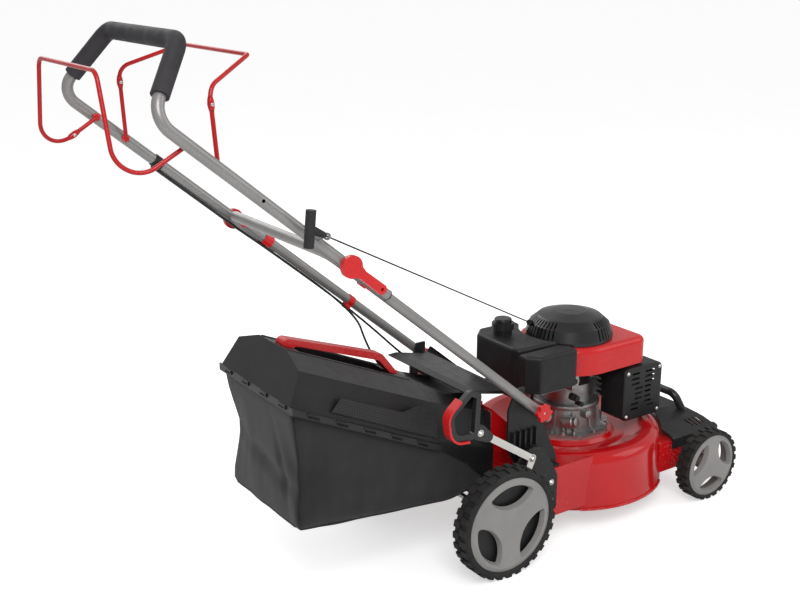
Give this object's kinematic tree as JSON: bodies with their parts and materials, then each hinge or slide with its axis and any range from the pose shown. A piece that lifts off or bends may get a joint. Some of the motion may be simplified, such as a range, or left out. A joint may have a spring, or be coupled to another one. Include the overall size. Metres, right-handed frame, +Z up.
{
  "type": "push lawn mower",
  "caption": "Petrol rotary lawn mower with a steel deck, folding tube handle with two bails, height lever, rear flap and grass bag.",
  "frame": {"origin": "on the ground under the middle of the whole length and width, wheels standing on z = 0", "axes": "+X forward, the way the mower is pushed; +Y to the left; +Z up"},
  "size_m": [1.548, 0.5468, 1.1855],
  "materials": {
    "red_paint": "gloss",
    "red_plastic": "gloss",
    "tube_paint": "satin",
    "black_plastic": "matte",
    "hub_plastic": "satin",
    "tyre_rubber": "matte",
    "zinc_steel": "satin",
    "blade_steel": "satin",
    "cast_alloy": "cast",
    "black_sheet": "matte",
    "bag_cloth": "woven",
    "foam": "matte",
    "cord_black": "satin"
  },
  "bodies": {
    "deck": {"deck_shell": "red_paint", "plain_bushes": "black_plastic", "side_brackets": "zinc_steel", "handle_supports": "black_plastic", "handle_bolts": "zinc_steel", "gearbox": "cast_alloy", "drive_belt": "tyre_rubber", "front_cover": "black_plastic", "front_bar": "tube_paint", "crankcase": "cast_alloy", "blower_housing": "red_plastic", "recoil_cover": "black_plastic", "fuel_tank": "black_plastic", "air_filter": "black_plastic", "muffler_guard": "black_sheet", "muffler": "black_sheet", "spark_plug": "black_plastic", "starter_rope": "cord_black", "drive_cable": "cord_black", "brake_cable": "cord_black"},
    "rear_carrier": {"rear_axle": "zinc_steel"},
    "right_rear_wheel": {"right_rear_hub": "hub_plastic", "right_rear_tyre": "tyre_rubber", "right_wheel_gear": "black_plastic"},
    "left_rear_wheel": {"left_rear_hub": "hub_plastic", "left_rear_tyre": "tyre_rubber", "left_wheel_gear": "black_plastic"},
    "shaft": {"drive_shaft": "zinc_steel"},
    "belt_pulley": {"gearbox_pulley": "blade_steel"},
    "crank": {"crankshaft": "blade_steel", "blade_adapter": "blade_steel", "blade": "blade_steel"},
    "front_carrier": {"front_axle": "zinc_steel"},
    "right_front_wheel": {"right_front_hub": "hub_plastic", "right_front_tyre": "tyre_rubber"},
    "left_front_wheel": {"left_front_hub": "hub_plastic", "left_front_tyre": "tyre_rubber"},
    "link": {"link_rod": "zinc_steel"},
    "lever": {"height_lever": "zinc_steel", "lever_handle": "black_plastic", "lever_grip": "red_plastic"},
    "lower_frame": {"lower_handle": "tube_paint", "tube_clips": "red_plastic"},
    "upper_frame": {"upper_handle": "tube_paint", "grip_foam": "foam"},
    "right_cam": {"right_cam_lever": "red_plastic"},
    "left_cam": {"left_cam_lever": "red_plastic"},
    "right_star": {"right_star_knob": "red_plastic"},
    "left_star": {"left_star_knob": "red_plastic"},
    "drive_control": {"drive_bail": "red_paint"},
    "brake_control": {"brake_bail": "red_paint"},
    "starter": {"starter_grip": "black_plastic"},
    "filler_cap": {"fuel_cap": "black_plastic"},
    "dipstick": {"oil_cap": "black_plastic"},
    "flap": {"discharge_flap": "black_plastic"},
    "bag": {"bag_lid": "black_plastic", "bag_frame": "black_plastic", "bag_body": "bag_cloth", "bag_handle": "red_plastic"}
  },
  "joints": [
    {"name": "rear_height", "type": "hinge", "parent": "deck", "child": "rear_carrier", "pos_m": [0.0869, 0, 0.14604], "axis": [0, 1, 0], "range_deg": [-19.5, 19.5]},
    {"name": "right_rear_spin", "type": "hinge", "parent": "rear_carrier", "child": "right_rear_wheel", "pos_m": [0.03, -0.25, 0.127], "axis": [0, 1, 0], "continuous": true},
    {"name": "left_rear_spin", "type": "hinge", "parent": "rear_carrier", "child": "left_rear_wheel", "pos_m": [0.03, 0.25, 0.127], "axis": [0, 1, 0], "continuous": true},
    {"name": "shaft_spin", "type": "hinge", "parent": "rear_carrier", "child": "shaft", "pos_m": [0.0869, 0, 0.14604], "axis": [0, 1, 0], "continuous": true},
    {"name": "pulley_spin", "type": "hinge", "parent": "deck", "child": "belt_pulley", "pos_m": [0.1209, 0, 0.1], "axis": [0, 0, 1], "continuous": true},
    {"name": "crank_spin", "type": "hinge", "parent": "deck", "child": "crank", "pos_m": [0.426, 0, 0.1], "axis": [0, 0, 1], "continuous": true},
    {"name": "front_height", "type": "hinge", "parent": "deck", "child": "front_carrier", "pos_m": [0.73, 0, 0.112], "axis": [0, 1, 0], "range_deg": [-24, 24]},
    {"name": "right_front_spin", "type": "hinge", "parent": "front_carrier", "child": "right_front_wheel", "pos_m": [0.685, -0.24, 0.09], "axis": [0, 1, 0], "continuous": true},
    {"name": "left_front_spin", "type": "hinge", "parent": "front_carrier", "child": "left_front_wheel", "pos_m": [0.685, 0.24, 0.09], "axis": [0, 1, 0], "continuous": true},
    {"name": "link_slide", "type": "slide", "parent": "deck", "child": "link", "axis": [1, 0, 0], "range_m": [-0.012, 0.012]},
    {"name": "height_lever_turn", "type": "hinge", "parent": "deck", "child": "lever", "pos_m": [0.127, 0, 0.24], "axis": [0, 1, 0], "range_deg": [-17, 17]},
    {"name": "lower_fold", "type": "hinge", "parent": "deck", "child": "lower_frame", "pos_m": [0.15085, 0, 0.34408], "axis": [0, 1, 0], "range_deg": [0, 45], "deforming": ["drive_cable", "brake_cable", "starter_rope"]},
    {"name": "upper_fold", "type": "hinge", "parent": "lower_frame", "child": "upper_frame", "pos_m": [-0.34762, 0, 0.75499], "axis": [0, 1, 0], "range_deg": [0, 150], "deforming": ["drive_cable", "brake_cable", "starter_rope"]},
    {"name": "right_cam_turn", "type": "hinge", "parent": "lower_frame", "child": "right_cam", "pos_m": [-0.34762, -0.241, 0.75499], "axis": [0, 1, 0], "range_deg": [-110, 0]},
    {"name": "left_cam_turn", "type": "hinge", "parent": "lower_frame", "child": "left_cam", "pos_m": [-0.34762, 0.241, 0.75499], "axis": [0, 1, 0], "range_deg": [-110, 0]},
    {"name": "right_star_turn", "type": "hinge", "parent": "deck", "child": "right_star", "pos_m": [0.15085, -0.22, 0.34408], "axis": [0, 1, 0], "continuous": true},
    {"name": "left_star_turn", "type": "hinge", "parent": "deck", "child": "left_star", "pos_m": [0.15085, 0.22, 0.34408], "axis": [0, 1, 0], "continuous": true},
    {"name": "drive_bail_turn", "type": "hinge", "parent": "upper_frame", "child": "drive_control", "pos_m": [-0.64624, 0, 1.00115], "axis": [0, 1, 0], "range_deg": [0, 38], "stiffness_Nm_per_rad": 0.6, "springref_deg": -34.38, "deforming": ["drive_cable", "brake_cable"]},
    {"name": "brake_bail_turn", "type": "hinge", "parent": "upper_frame", "child": "brake_control", "pos_m": [-0.58991, 0, 0.95472], "axis": [0, 1, 0], "range_deg": [-31, 0], "stiffness_Nm_per_rad": 0.6, "springref_deg": 34.38, "deforming": ["drive_cable", "brake_cable"]},
    {"name": "starter_pull", "type": "slide", "parent": "upper_frame", "child": "starter", "axis": [-0.8427, -0.3261, 0.4284], "range_m": [0, 0.5], "stiffness_N_per_m": 25, "springref_m": -0.4, "deforming": ["starter_rope"]},
    {"name": "fuel_cap_turn", "type": "hinge", "parent": "deck", "child": "filler_cap", "pos_m": [0.254, 0.045, 0.45], "axis": [0, 0, 1], "range_deg": [0, 120]},
    {"name": "oil_cap_turn", "type": "hinge", "parent": "deck", "child": "dipstick", "pos_m": [0.36, 0.066, 0.268], "axis": [0, 0, 1], "range_deg": [0, 90]},
    {"name": "flap_lift", "type": "hinge", "parent": "deck", "child": "flap", "pos_m": [0.114, 0, 0.374], "axis": [0, 1, 0], "range_deg": [0, 40], "stiffness_Nm_per_rad": 0.3, "springref_deg": -45.84},
    {"name": "bag_pull", "type": "slide", "parent": "deck", "child": "bag", "axis": [-1, 0, 0], "range_m": [0, 0.25]}
  ],
  "couplings": [
    {"joint": "left_rear_spin", "follows": "right_rear_spin", "ratio": 1},
    {"joint": "shaft_spin", "follows": "right_rear_spin", "ratio": 5.8},
    {"joint": "pulley_spin", "follows": "crank_spin", "ratio": 0.71053},
    {"joint": "height_lever_turn", "follows": "rear_height", "ratio": -0.86957},
    {"joint": "link_slide", "follows": "rear_height", "m_per_rad": 0.034},
    {"joint": "front_height", "follows": "rear_height", "ratio": 1.2143}
  ]
}
